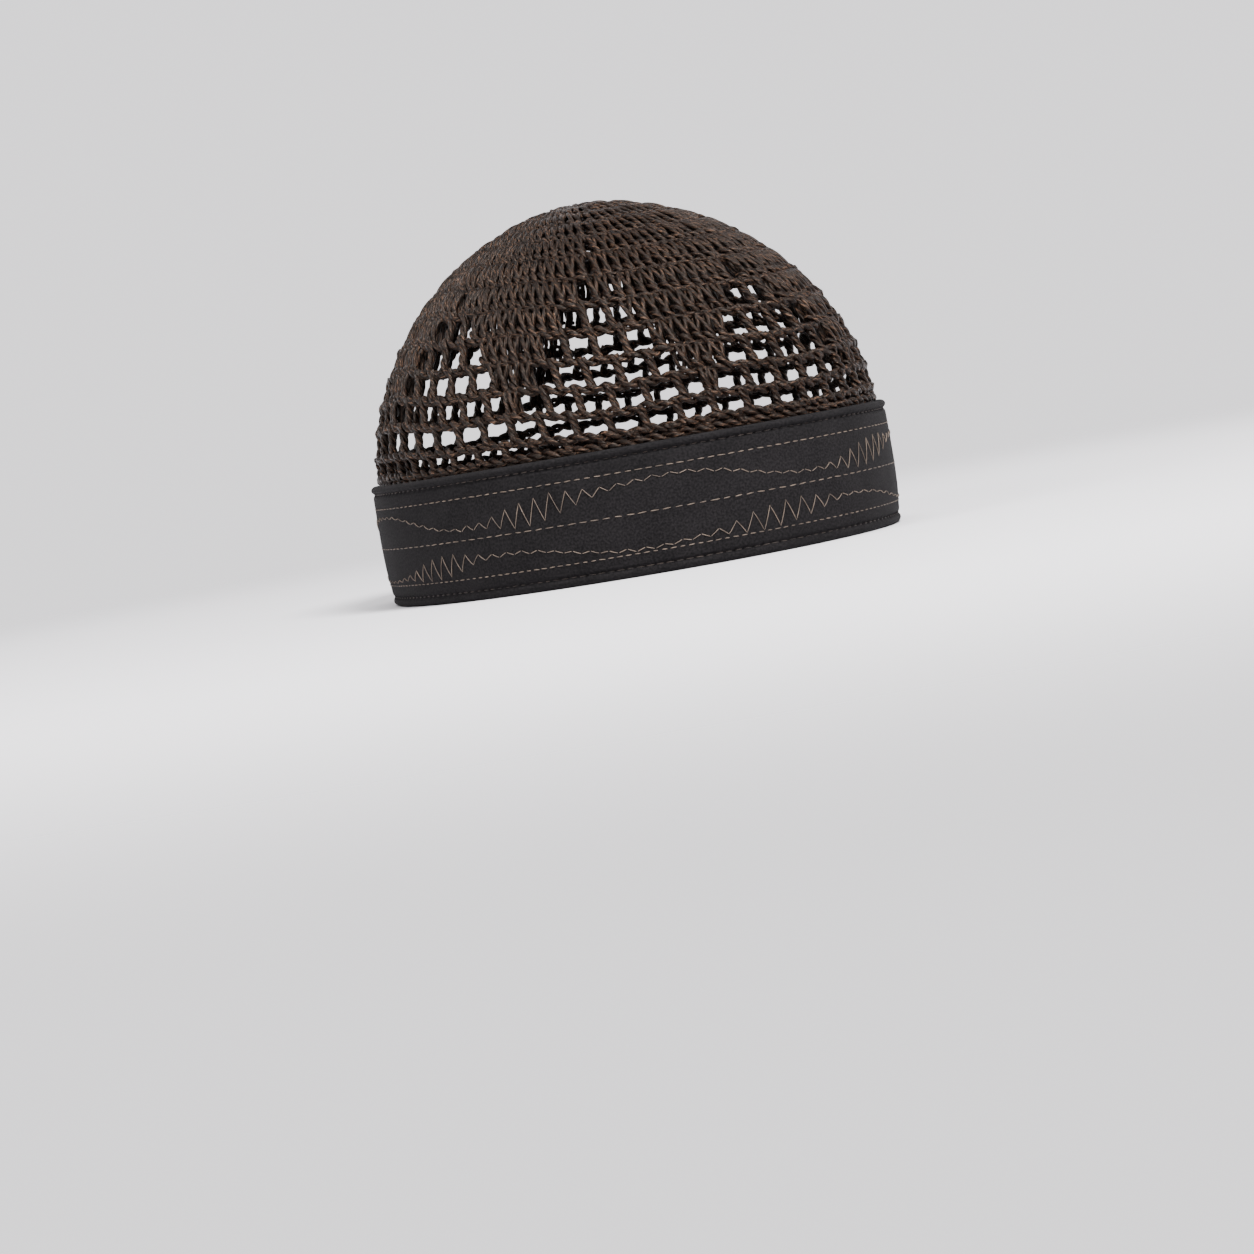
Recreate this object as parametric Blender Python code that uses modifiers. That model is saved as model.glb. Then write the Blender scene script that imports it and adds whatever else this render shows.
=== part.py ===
"""Crochet prayer cap: an openwork crown whose lower margin sits inside a folded cloth band.

Metres, +Z up. The origin is the middle of the rim, on the surface that the cap rests on. The front is -Y.
Both pieces are turned round and then lengthened from front to back, so that every ring is an oval.
"""

import math

import bmesh
import bpy
import numpy as np

MM = 0.001

# Head size and height
HALF_WIDTH = 85.0 * MM
HALF_LENGTH = 95.8 * MM
CAP_HEIGHT = 124.4 * MM

# Band of folded cloth
BAND_HEIGHT = 41.4 * MM
BAND_WALL = 2.1 * MM
BAND_TUCK = 1.6 * MM
EDGE_ROUND = 0.6 * MM
TOP_SEAM = 3.6 * MM
HEM_SEAM = 2.6 * MM
SEAM_WIDTH = 1.4 * MM
SEAM_DEPTH = 0.45 * MM
BAND_STEPS = 64

# How far the band draws in towards its hem: height as a share of the band, and share of BAND_TUCK
BAND_FACE = (
    # height  tuck
    (0.00, 1.00),
    (0.13, 0.55),
    (0.30, 0.15),
    (0.50, 0.00),
    (0.80, 0.05),
    (1.00, 0.20),
)

# Crocheted crown
CROWN_WALL = 2.6 * MM
CROWN_MARGIN = 11.0 * MM
CROWN_POWER = 1.86
CROWN_SET_BACK = 4.4 * MM
SET_BACK_POWER = 3.9
FIT_GAP = 0.3 * MM

# Openwork: gaps in each row of one sector, from the band upwards
SECTORS = 8
CELLS_PER_SECTOR = 5
GROUP_FROM_FRONT = math.radians(5.0)
GAPS_IN_ROW = (5, 4, 3, 2, 1)
EDGE_ROUND_HEIGHT = 5.0 * MM
NET_ROW_HEIGHT = 10.2 * MM
STRAND_WIDTH = 4.2 * MM
CLOSED_ROWS = 6

# Colours as linear RGB
YARN_COLOUR = (0.055, 0.038, 0.029, 1.0)
CLOTH_COLOUR = (0.018, 0.016, 0.018, 1.0)


def clear_scene():
    """Removes every object of the open scene."""
    for old in list(bpy.data.objects):
        bpy.data.objects.remove(old, do_unlink=True)


def make_collection(name):
    """Returns a new collection linked to the scene."""
    group = bpy.data.collections.new(name)
    bpy.context.scene.collection.children.link(group)
    return group


def make_material(name, colour, roughness):
    """Returns a plain Principled material."""
    material = bpy.data.materials.new(name)
    material.use_nodes = True
    shader = material.node_tree.nodes["Principled BSDF"]
    shader.inputs["Base Color"].default_value = colour
    shader.inputs["Roughness"].default_value = roughness
    shader.inputs["Metallic"].default_value = 0.0
    return material


def crown_rim_radius():
    """Outer radius of the crown's margin, which fits inside the band."""
    return HALF_WIDTH - BAND_WALL - FIT_GAP


def turned(profile, steps, closed):
    """Turns a profile of (radius, height) points about the Z axis and returns the bmesh."""
    bm = bmesh.new()
    line = [bm.verts.new((radius, 0.0, height)) for radius, height in profile]
    edges = [bm.edges.new(pair) for pair in zip(line, line[1:])]
    if closed:
        edges.append(bm.edges.new((line[-1], line[0])))
    bmesh.ops.spin(
        bm,
        geom=line + edges,
        cent=(0.0, 0.0, 0.0),
        axis=(0.0, 0.0, 1.0),
        angle=2.0 * math.pi,
        steps=steps,
        use_merge=True,
    )
    bmesh.ops.remove_doubles(bm, verts=bm.verts, dist=0.01 * MM)
    return bm


def lengthen(bm):
    """Draws a turned body out from front to back; rings outside the crown's rim keep their wall."""
    stretch = HALF_LENGTH - HALF_WIDTH
    rim = crown_rim_radius()
    for vert in bm.verts:
        radius = math.hypot(vert.co.x, vert.co.y)
        if radius > 0.0:
            vert.co.y *= 1.0 + stretch * min(1.0, radius / rim) / radius


def finished(bm, name, group, material):
    """Makes a smooth-shaded object from the bmesh, with its faces pointing out."""
    bmesh.ops.recalc_face_normals(bm, faces=bm.faces)
    bm.normal_update()
    highest = max(bm.faces, key=lambda face: face.calc_center_median().z)
    if highest.normal.z < 0.0:
        bmesh.ops.reverse_faces(bm, faces=bm.faces)
    mesh = bpy.data.meshes.new(name)
    bm.to_mesh(mesh)
    bm.free()
    mesh.shade_smooth()
    mesh.set_sharp_from_angle(angle=math.radians(40.0))
    mesh.materials.append(material)
    body = bpy.data.objects.new(name, mesh)
    group.objects.link(body)
    return body


def band_radius(height):
    """Outer radius of the band's cloth at a height above the rim."""
    shares, tucks = zip(*BAND_FACE)
    return HALF_WIDTH - BAND_TUCK * float(np.interp(height / BAND_HEIGHT, shares, tucks))


def seam_points(height):
    """Section of the groove that a row of stitches pulls into the cloth."""
    half = SEAM_WIDTH / 2.0
    return [
        (band_radius(height - half), height - half),
        (band_radius(height) - SEAM_DEPTH, height),
        (band_radius(height + half), height + half),
    ]


def band_section():
    """Closed section of the band: flat foot, rolled hem, face, rolled top edge and inner side."""
    soft = 0.3 * EDGE_ROUND
    foot = band_radius(0.0)
    head = band_radius(BAND_HEIGHT)
    outer = [
        (foot - EDGE_ROUND, 0.0),
        (foot - soft, soft),
        (band_radius(EDGE_ROUND), EDGE_ROUND),
    ]
    outer += seam_points(HEM_SEAM)
    for share, _tuck in BAND_FACE[1:-1]:
        outer.append((band_radius(share * BAND_HEIGHT), share * BAND_HEIGHT))
    outer += seam_points(BAND_HEIGHT - TOP_SEAM)
    outer += [
        (band_radius(BAND_HEIGHT - EDGE_ROUND), BAND_HEIGHT - EDGE_ROUND),
        (head - soft, BAND_HEIGHT - soft),
        (head - EDGE_ROUND, BAND_HEIGHT),
    ]
    # The inner side keeps inside the wall, and leaves room for the crown's margin.
    inner_radius = HALF_WIDTH - BAND_WALL
    inner = [
        (inner_radius + EDGE_ROUND, BAND_HEIGHT),
        (inner_radius, BAND_HEIGHT - EDGE_ROUND),
        (inner_radius, 0.5 * BAND_HEIGHT),
        (foot - BAND_WALL, EDGE_ROUND),
        (foot - BAND_WALL + EDGE_ROUND, 0.0),
    ]
    return outer + inner


def make_band(group):
    """The folded cloth band that carries the crown."""
    bm = turned(band_section(), BAND_STEPS, closed=True)
    lengthen(bm)
    cloth = make_material("band_cloth", CLOTH_COLOUR, 0.85)
    return finished(bm, "band", group, cloth)


def dome_point(share):
    """Radius and height on the crown's outline, at a share of the way from the band to the apex."""
    angle = share * math.pi / 2.0
    power = 2.0 / CROWN_POWER
    radius = crown_rim_radius() * math.cos(angle) ** power if share < 1.0 else 0.0
    return radius, BAND_HEIGHT + (CAP_HEIGHT - BAND_HEIGHT) * math.sin(angle) ** power


def dome_share(distance):
    """Share of the outline that lies a given distance from the band, measured along the crown."""
    shares = np.linspace(0.0, 1.0, 400)
    points = np.array([dome_point(share) for share in shares])
    steps = np.hypot(*np.diff(points, axis=0).T)
    return float(np.interp(distance, np.concatenate([[0.0], np.cumsum(steps)]), shares))


def crown_outline():
    """Open outline of the crown, one point to each ring: margin, edge round, net rows and closed rows."""
    rim = crown_rim_radius()
    outline = [(rim, BAND_HEIGHT - CROWN_MARGIN), (rim, BAND_HEIGHT)]
    net_rows = len(GAPS_IN_ROW)
    shares = [dome_share(EDGE_ROUND_HEIGHT + row * NET_ROW_HEIGHT) for row in range(net_rows + 1)]
    outline += [dome_point(share) for share in shares]
    for row in range(1, CLOSED_ROWS + 1):
        outline.append(dome_point(shares[-1] + (1.0 - shares[-1]) * row / CLOSED_ROWS))
    return outline


def set_back(bm):
    """Draws the top of the crown a little towards the back."""
    for vert in bm.verts:
        rise = max(0.0, (vert.co.z - BAND_HEIGHT) / (CAP_HEIGHT - BAND_HEIGHT))
        vert.co.y += CROWN_SET_BACK * rise ** SET_BACK_POWER


def chart_place(face, ring_heights):
    """Net row and column of a face, counted from the lowest net row and from the +X axis."""
    middle = face.calc_center_median()
    column = int(math.atan2(middle.y, middle.x) % (2.0 * math.pi) / cell_angle())
    row = int(np.searchsorted(ring_heights, middle.z)) - 1
    return row, column


def cell_angle():
    """Angle of one net cell."""
    return 2.0 * math.pi / (SECTORS * CELLS_PER_SECTOR)


def is_gap(row, column):
    """Whether the chart leaves the cell at this net row and column open."""
    return 0 <= row < len(GAPS_IN_ROW) and column % CELLS_PER_SECTOR < GAPS_IN_ROW[row]


def step_rows(bm, ring_heights):
    """Turns each net row half a cell past the one below, which centres the shrinking groups of gaps."""
    steps = range(len(ring_heights))
    front = -math.pi / 2.0
    first_group = front + GROUP_FROM_FRONT - math.pi / SECTORS
    for vert in bm.verts:
        turn = first_group + cell_angle() / 2.0 * float(np.interp(vert.co.z, ring_heights, steps))
        x, y = vert.co.x, vert.co.y
        vert.co.x = x * math.cos(turn) - y * math.sin(turn)
        vert.co.y = x * math.sin(turn) + y * math.cos(turn)


def make_crown(group):
    """The crocheted crown: a thin dome with eight triangles of open net cells."""
    outline = crown_outline()
    bm = turned(outline, SECTORS * CELLS_PER_SECTOR, closed=False)
    first_net_ring = 2
    last_net_ring = first_net_ring + len(GAPS_IN_ROW)
    ring_heights = [height for _radius, height in outline[first_net_ring:last_net_ring + 1]]
    gaps = [face for face in bm.faces if is_gap(*chart_place(face, ring_heights))]
    step_rows(bm, ring_heights)
    lengthen(bm)
    set_back(bm)
    bm.normal_update()
    bmesh.ops.inset_individual(bm, faces=gaps, thickness=STRAND_WIDTH / 2.0, use_even_offset=True)
    bmesh.ops.delete(bm, geom=gaps, context="FACES_ONLY")
    yarn = make_material("crown_yarn", YARN_COLOUR, 0.6)
    crown = finished(bm, "crown", group, yarn)
    wall = crown.modifiers.new("wall", "SOLIDIFY")
    wall.thickness = CROWN_WALL
    wall.offset = -1.0
    wall.use_even_offset = True
    return crown


def main():
    """Builds the cap."""
    clear_scene()
    group = make_collection("crochet_prayer_cap")
    make_band(group)
    make_crown(group)


main()
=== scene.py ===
"""Crochet prayer cap: the yarn of its crown, the cloth of its band and the sewing on it.

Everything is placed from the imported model's own boxes, in metres, with the front of the cap at -Y.
"""

from __future__ import annotations

import logging
import math
from dataclasses import dataclass
from enum import Enum
from typing import Any, Iterable, Sequence

import bpy
import numpy as np
from mathutils import Matrix, Vector

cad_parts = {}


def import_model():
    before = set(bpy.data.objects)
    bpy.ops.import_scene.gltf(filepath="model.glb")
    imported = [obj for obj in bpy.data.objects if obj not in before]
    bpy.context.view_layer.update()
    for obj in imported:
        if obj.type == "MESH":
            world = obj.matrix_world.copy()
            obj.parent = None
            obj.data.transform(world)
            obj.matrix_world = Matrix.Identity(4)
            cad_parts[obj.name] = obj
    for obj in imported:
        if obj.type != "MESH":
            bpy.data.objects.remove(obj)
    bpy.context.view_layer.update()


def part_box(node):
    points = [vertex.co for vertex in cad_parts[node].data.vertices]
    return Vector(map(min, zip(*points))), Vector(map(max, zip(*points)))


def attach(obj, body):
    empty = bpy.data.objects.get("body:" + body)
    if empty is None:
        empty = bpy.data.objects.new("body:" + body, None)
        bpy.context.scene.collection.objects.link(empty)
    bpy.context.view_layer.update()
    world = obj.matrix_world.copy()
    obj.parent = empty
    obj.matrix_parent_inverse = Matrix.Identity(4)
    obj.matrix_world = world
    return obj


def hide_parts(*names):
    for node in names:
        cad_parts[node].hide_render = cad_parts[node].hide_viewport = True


LOG = logging.getLogger("prayer_cap")
MM = 0.001
TAU = 2.0 * math.pi
CELLS_ROUND = 48
SECTORS = 8
CELLS_PER_SECTOR = CELLS_ROUND // SECTORS
Colour = tuple[float, float, float, float]

# Places of the colour sockets on a Mix node
COLOUR_INPUTS = (6, 7)
COLOUR_OUTPUT = 2


# Node trees


class Field:
    """A number socket of a node tree, which can stand in an expression."""

    def __init__(self, tree: Tree, socket: bpy.types.NodeSocket) -> None:
        """Keeps the socket and its tree."""
        self.tree = tree
        self.socket = socket

    def math(self, operation: str, *others: Field | float) -> Field:
        """Adds a Math node that takes this value first.

        Args:
            operation: the node's operation.
            others: the values or fields of its other sockets.

        Returns:
            The node's result.
        """
        values = {place + 1: other for place, other in enumerate(others)}
        return self.tree.add("ShaderNodeMath", {"operation": operation}, {0: self, **values})

    def __add__(self, other: Field | float) -> Field:
        """Sum."""
        return self.math("ADD", other)

    def __radd__(self, other: float) -> Field:
        """Sum with a number in front."""
        return self.math("ADD", other)

    def __sub__(self, other: Field | float) -> Field:
        """Difference."""
        return self.math("SUBTRACT", other)

    def __rsub__(self, other: float) -> Field:
        """Difference from a number."""
        return self.math("MULTIPLY", -1.0) + other

    def __mul__(self, other: Field | float) -> Field:
        """Product."""
        return self.math("MULTIPLY", other)

    def __rmul__(self, other: float) -> Field:
        """Product with a number in front."""
        return self.math("MULTIPLY", other)

    def __truediv__(self, other: Field | float) -> Field:
        """Quotient."""
        return self.math("DIVIDE", other)

    def __pow__(self, other: float) -> Field:
        """Power."""
        return self.math("POWER", other)

    def sine(self) -> Field:
        """Sine of an angle in radians."""
        return self.math("SINE")

    def cosine(self) -> Field:
        """Cosine of an angle in radians."""
        return self.math("COSINE")

    def limited(self) -> Field:
        """The value kept from 0 to 1."""
        return self.tree.add("ShaderNodeClamp", {}, {"Value": self})


class Tree:
    """A node tree that is filled by one call for each node."""

    def __init__(self, tree: bpy.types.NodeTree) -> None:
        """Keeps the tree that the nodes go into."""
        self.tree = tree

    def node(self, kind: str, settings: dict[str, Any], inputs: dict[Any, Any]) -> bpy.types.Node:
        """Adds a node.

        Args:
            kind: the node's type name.
            settings: its properties, set before its sockets are touched.
            inputs: a value, field or socket for each input, by name or place.

        Returns:
            The node.
        """
        made = self.tree.nodes.new(kind)
        for name, value in settings.items():
            setattr(made, name, value)
        for key, value in inputs.items():
            target = made.inputs[key]
            if isinstance(value, Field):
                self.tree.links.new(value.socket, target)
            elif isinstance(value, bpy.types.NodeSocket):
                self.tree.links.new(value, target)
            else:
                target.default_value = value
        return made

    def add(self, kind: str, settings: dict[str, Any], inputs: dict[Any, Any], output: Any = 0) -> Field:
        """Adds a node and returns one of its outputs as a field."""
        return Field(self, self.node(kind, settings, inputs).outputs[output])


def colour_mix(tree: Tree, factor: Field, first: Any, second: Any) -> bpy.types.NodeSocket:
    """Mixes two colours.

    Args:
        tree: the shader tree.
        factor: share of the second colour.
        first: colour or socket.
        second: colour or socket.

    Returns:
        The mixed colour's socket.
    """
    made = tree.node("ShaderNodeMix", {"data_type": "RGBA"}, {0: factor})
    for place, value in zip(COLOUR_INPUTS, (first, second)):
        if isinstance(value, bpy.types.NodeSocket):
            tree.tree.links.new(value, made.inputs[place])
        else:
            made.inputs[place].default_value = value
    return made.outputs[COLOUR_OUTPUT]


def shade(red: int, green: int, blue: int) -> Colour:
    """Turns a display colour into a linear one.

    Args:
        red: red from 0 to 255.
        green: green from 0 to 255.
        blue: blue from 0 to 255.

    Returns:
        The linear colour, fully solid.
    """
    steps = [value / 255.0 for value in (red, green, blue)]
    line = [step / 12.92 if step <= 0.04045 else ((step + 0.055) / 1.055) ** 2.4 for step in steps]
    return (line[0], line[1], line[2], 1.0)


# Finishes


def new_material(name: str) -> tuple[bpy.types.Material, Tree, bpy.types.Node]:
    """Makes an empty Principled material.

    Args:
        name: the material's name.

    Returns:
        The material, its tree and its Principled node.
    """
    material = bpy.data.materials.new(name)
    material.use_nodes = True
    return material, Tree(material.node_tree), material.node_tree.nodes["Principled BSDF"]


def dress(
    finish: YarnFinish | ClothFinish | ThreadFinish,
    tree: Tree,
    shader: bpy.types.Node,
    colour: bpy.types.NodeSocket,
    height: Field,
) -> None:
    """Joins a colour and a relief to a Principled node, and sets its sheen.

    Args:
        finish: the finish, which holds the sheen and the depth of the relief.
        tree: the shader tree.
        shader: its Principled node.
        colour: the surface's colour.
        height: the surface's height, as shares of the relief.
    """
    inputs = {"Strength": finish.bump, "Distance": finish.relief, "Height": height}
    bump = tree.add("ShaderNodeBump", {}, inputs, "Normal")
    tree.tree.links.new(colour, shader.inputs["Base Color"])
    tree.tree.links.new(bump.socket, shader.inputs["Normal"])
    shader.inputs["Roughness"].default_value = finish.roughness
    shader.inputs["Specular IOR Level"].default_value = finish.specular


@dataclass(frozen=True)
class YarnFinish:
    """Lustrous three-ply yarn whose plies and filaments run round each strand.

    The strands carry two attributes: `ring`, the place on the strand's round, and `along`, the way
    along it in metres. A third, `tone`, differs from stitch to stitch.

    Attributes:
        name: the material's name.
        deep, main, painted_glint: painted shade between the plies, the yarn's own colour on them, and a
            painted highlight in glints along the filaments on the ply crests.
        ply_turn: way along a strand for one turn of its plies.
        tint, specular, roughness: its sheen.
        relief, bump: depth of plies and filaments, and how much of it counts.
        filaments_across, filaments_along: fineness of the filaments across and along a strand.
        tone_shift: how far the filaments differ between stitches.
        patch_scale: fineness of the lighter and darker patches.
        ply_fullness: roundness of the plies.
        ply_relief, filament_relief: shares of the relief.
        ply_share, filament_share, tone_share, patch_share, darkening: how far a spot moves from the
        painted shade between the plies towards the yarn's own colour; the plies' height sets the painted
        shade, while filaments, stitch tone and patches vary the real tone.
        gloss_from, gloss_gain: which filaments get the painted highlight, and how sharply.
    """

    name: str
    # painted shade: the near-black colour painted into the crevices between the plies
    deep: Colour
    main: Colour
    # painted highlight: the colour painted as glints along the filaments on the ply crests
    painted_glint: Colour
    ply_turn: float = 9.0 * MM
    tint: Colour = (1.0, 0.84, 0.74, 1.0)
    roughness: float = 0.36
    specular: float = 0.17
    relief: float = 0.30 * MM
    bump: float = 0.85
    filaments_across: float = 5.0
    filaments_along: float = 420.0
    tone_shift: float = 90.0
    patch_scale: float = 60.0
    ply_fullness: float = 0.6
    ply_relief: float = 0.7
    filament_relief: float = 0.8
    ply_share: float = 0.95
    filament_share: float = 1.5
    tone_share: float = 0.25
    patch_share: float = 0.3
    # pulls every spot towards the painted crevice shade
    darkening: float = 1.25
    gloss_from: float = 0.56
    gloss_gain: float = 5.0

    def material(self) -> bpy.types.Material:
        """Builds the finish.

        Returns:
            The material.
        """
        material, tree, shader = new_material(self.name)
        ring = tree.add("ShaderNodeAttribute", {"attribute_name": "ring"}, {}, "Vector")
        across = tree.node("ShaderNodeSeparateXYZ", {}, {0: ring})
        along = tree.add("ShaderNodeAttribute", {"attribute_name": "along"}, {}, "Fac")
        tone = tree.add("ShaderNodeAttribute", {"attribute_name": "tone"}, {}, "Fac")
        side = Field(tree, across.outputs[0])
        front = Field(tree, across.outputs[1])
        turn = along * (TAU / self.ply_turn)
        wound_x = side * turn.cosine() - front * turn.sine()
        wound_y = side * turn.sine() + front * turn.cosine()
        plies = wound_x ** 3 * 4.0 - wound_x * 3.0
        ply_height = (plies * 0.5 + 0.5) ** self.ply_fullness
        place = tree.add(
            "ShaderNodeCombineXYZ",
            {},
            {
                0: wound_x * self.filaments_across,
                1: wound_y * self.filaments_across,
                2: along * self.filaments_along + tone * self.tone_shift,
            },
        )
        filaments = tree.add("ShaderNodeTexNoise", {}, {"Vector": place, "Scale": 1.0, "Detail": 3.0})
        coords = tree.add("ShaderNodeTexCoord", {}, {}, "Object")
        patch_inputs = {"Vector": coords, "Scale": self.patch_scale, "Detail": 2.0}
        patches = tree.add("ShaderNodeTexNoise", {}, patch_inputs)
        fibres = ply_height * self.ply_share + filaments * self.filament_share
        # Painted shade: the crevices between the plies are darkened towards the deep colour, mixed with
        # the real tone of filaments, stitches and patches
        light = fibres + tone * self.tone_share + patches * self.patch_share - self.darkening
        body = colour_mix(tree, light.limited(), self.deep, self.main)
        # Painted highlight: glints along the filaments on the ply crests are mixed in over the shaded
        # body colour
        gloss = ((filaments - self.gloss_from) * self.gloss_gain * ply_height).limited()
        colour = colour_mix(tree, gloss, body, self.painted_glint)
        height = ply_height * self.ply_relief + filaments * self.filament_relief
        dress(self, tree, shader, colour, height)
        shader.inputs["Specular Tint"].default_value = self.tint
        return material


@dataclass(frozen=True)
class ClothFinish:
    """Matte, finely grained cloth; its UV map runs in metres along and up the band.

    Attributes:
        name: the material's name.
        main, pale: its ground colour and that of its fuzz.
        grain: width of one thread of the weave.
        roughness, specular: its sheen.
        relief, bump: depth of the grain, and how much of it counts.
        fuzz_scale, cloud_scale: fineness of the fuzz and of the slow clouds.
        fuzz_share, cloud_share, weave_share, paleness: what makes a spot pale.
        weave_relief: share of the relief that the weave has beside the fuzz.
    """

    name: str
    main: Colour
    pale: Colour
    grain: float = 0.42 * MM
    roughness: float = 0.9
    specular: float = 0.12
    relief: float = 0.15 * MM
    bump: float = 0.7
    fuzz_scale: float = 1300.0
    cloud_scale: float = 90.0
    fuzz_share: float = 3.2
    cloud_share: float = 0.9
    weave_share: float = 0.2
    weave_relief: float = 0.5
    paleness: float = 0.35

    def material(self) -> bpy.types.Material:
        """Builds the finish.

        Returns:
            The material.
        """
        material, tree, shader = new_material(self.name)
        coords = tree.add("ShaderNodeUVMap", {"uv_map": "cloth"}, {}, "UV")
        parts = tree.node("ShaderNodeSeparateXYZ", {}, {0: coords})
        warp = (Field(tree, parts.outputs[0]) * (TAU / self.grain)).sine()
        weft = (Field(tree, parts.outputs[1]) * (TAU / self.grain)).sine()
        weave = (warp * weft) * 0.5 + 0.5
        fuzz_inputs = {"Vector": coords, "Scale": self.fuzz_scale, "Detail": 4.0}
        fuzz = tree.add("ShaderNodeTexNoise", {}, fuzz_inputs)
        cloud_inputs = {"Vector": coords, "Scale": self.cloud_scale, "Detail": 3.0}
        clouds = tree.add("ShaderNodeTexNoise", {}, cloud_inputs)
        specks = (fuzz - 0.5) * self.fuzz_share + (clouds - 0.5) * self.cloud_share
        pale = (specks + weave * self.weave_share + self.paleness).limited()
        height = weave * self.weave_relief + fuzz
        dress(self, tree, shader, colour_mix(tree, pale, self.main, self.pale), height)
        return material


@dataclass(frozen=True)
class ThreadFinish:
    """Fine sewing thread with a slight twist and uneven wear.

    Attributes:
        name: the material's name.
        main, worn: its colour, and its colour where it is worn.
        roughness, specular: its sheen.
        relief, bump: depth of the twist, and how much of it counts.
        wear_scale, twist_scale: fineness of the wear and of the twist.
        wear_from, wear_gain: where wear begins, and how sharply.
    """

    name: str
    main: Colour
    worn: Colour
    roughness: float = 0.62
    specular: float = 0.25
    relief: float = 0.05 * MM
    bump: float = 0.6
    wear_scale: float = 240.0
    twist_scale: float = 3200.0
    wear_from: float = 0.35
    wear_gain: float = 2.2

    def material(self) -> bpy.types.Material:
        """Builds the finish.

        Returns:
            The material.
        """
        material, tree, shader = new_material(self.name)
        coords = tree.add("ShaderNodeTexCoord", {}, {}, "Object")
        wear_inputs = {"Vector": coords, "Scale": self.wear_scale, "Detail": 3.0}
        wear = tree.add("ShaderNodeTexNoise", {}, wear_inputs)
        twist_inputs = {"Vector": coords, "Scale": self.twist_scale, "Detail": 1.0}
        twist = tree.add("ShaderNodeTexNoise", {}, twist_inputs)
        share = ((wear - self.wear_from) * self.wear_gain).limited()
        dress(self, tree, shader, colour_mix(tree, share, self.main, self.worn), twist)
        return material


# Forms that carry the yarn and the threads


@dataclass
class Oval:
    """The cap's oval, read by the share of the way round from the front towards +X."""

    half_width: float
    half_length: float
    samples: int = 2881

    def __post_init__(self) -> None:
        """Measures the way round the oval once."""
        self.angles = np.linspace(0.0, TAU, self.samples)
        across = np.diff(self.half_width * np.sin(self.angles))
        ahead = np.diff(self.half_length * np.cos(self.angles))
        steps = np.hypot(across, ahead)
        way = np.concatenate([[0.0], np.cumsum(steps)])
        self.length = float(way[-1])
        self.shares = way / way[-1]

    def angle(self, share: np.ndarray) -> np.ndarray:
        """Angle of the oval's ellipse at shares of the way round."""
        return np.interp(np.mod(share, 1.0), self.shares, self.angles)


@dataclass
class Dome:
    """The crown's middle surface, read by net cells round from the front and metres up from the band.

    Attributes:
        oval: the band's oval, which sets where the cells stand.
        half_width: half the dome's width at the band.
        half_length: half its length there.
        base: height of the band's top edge.
        top: height of the dome's highest point.
        power: fullness of its outline, where 2 is an ellipse.
        set_back: how far its top is drawn towards the back.
        set_back_power: how late on the way up that happens.
        samples: points at which its outline is measured.
        slant_step: angle to either side over which its slope is read.
    """

    oval: Oval
    half_width: float
    half_length: float
    base: float
    top: float
    power: float = 1.86
    set_back: float = 4.4 * MM
    set_back_power: float = 3.9
    samples: int = 900
    slant_step: float = 0.004

    def __post_init__(self) -> None:
        """Measures the way up the dome once."""
        self.slants = np.linspace(0.0, math.pi / 2.0, self.samples)
        share, height = self.section(self.slants)
        middle = (self.half_width + self.half_length) / 2.0
        steps = np.hypot(np.diff(share * middle), np.diff(height))
        self.ways = np.concatenate([[0.0], np.cumsum(steps)])
        self.length = float(self.ways[-1])

    def section(self, slant: np.ndarray) -> tuple[np.ndarray, np.ndarray]:
        """Reads the dome's outline.

        Args:
            slant: angles up the outline, from 0 at the band to a quarter turn at the top.

        Returns:
            Shares of the rim's radius, and heights.
        """
        share = np.maximum(np.cos(slant), 0.0) ** (2.0 / self.power)
        height = self.base + (self.top - self.base) * np.sin(slant) ** (2.0 / self.power)
        return share, height

    def round_share(self, way: np.ndarray) -> np.ndarray:
        """Share of the rim's girth that a ring has at distances up from the band."""
        slant = np.interp(way, self.ways, self.slants)
        return self.section(slant)[0]

    def place(self, cells: np.ndarray, way: np.ndarray, out: np.ndarray) -> np.ndarray:
        """Points on or off the dome.

        Args:
            cells: net cells round from the front.
            way: metres up from the band along the dome, negative inside the band.
            out: metres out of the middle surface.

        Returns:
            An array of points, one for each entry.
        """
        cells, way, out = np.broadcast_arrays(cells, way, out)
        turn = self.oval.angle(cells / CELLS_ROUND)
        slant = np.interp(way, self.ways, self.slants)
        share, height = self.section(slant)
        ahead_share, ahead_height = self.section(np.minimum(slant + self.slant_step, math.pi / 2.0))
        behind_share, behind_height = self.section(np.maximum(slant - self.slant_step, 0.0))
        climb = np.maximum(ahead_height - behind_height, 1e-9)
        shrink = np.where(way > 0.0, behind_share - ahead_share, 0.0)
        normal = np.stack(
            [
                np.sin(turn) / self.half_width * climb,
                -np.cos(turn) / self.half_length * climb,
                shrink,
            ],
            axis=-1,
        )
        normal /= np.linalg.norm(normal, axis=-1, keepdims=True)
        height = height + np.minimum(way, 0.0)
        rise = np.clip((height - self.base) / (self.top - self.base), 0.0, 1.0)
        points = np.stack(
            [
                self.half_width * share * np.sin(turn),
                -self.half_length * share * np.cos(turn) + self.set_back * rise ** self.set_back_power,
                height,
            ],
            axis=-1,
        )
        return points + normal * out[..., None]


# Strands and the tree that gives them their round form


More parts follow.
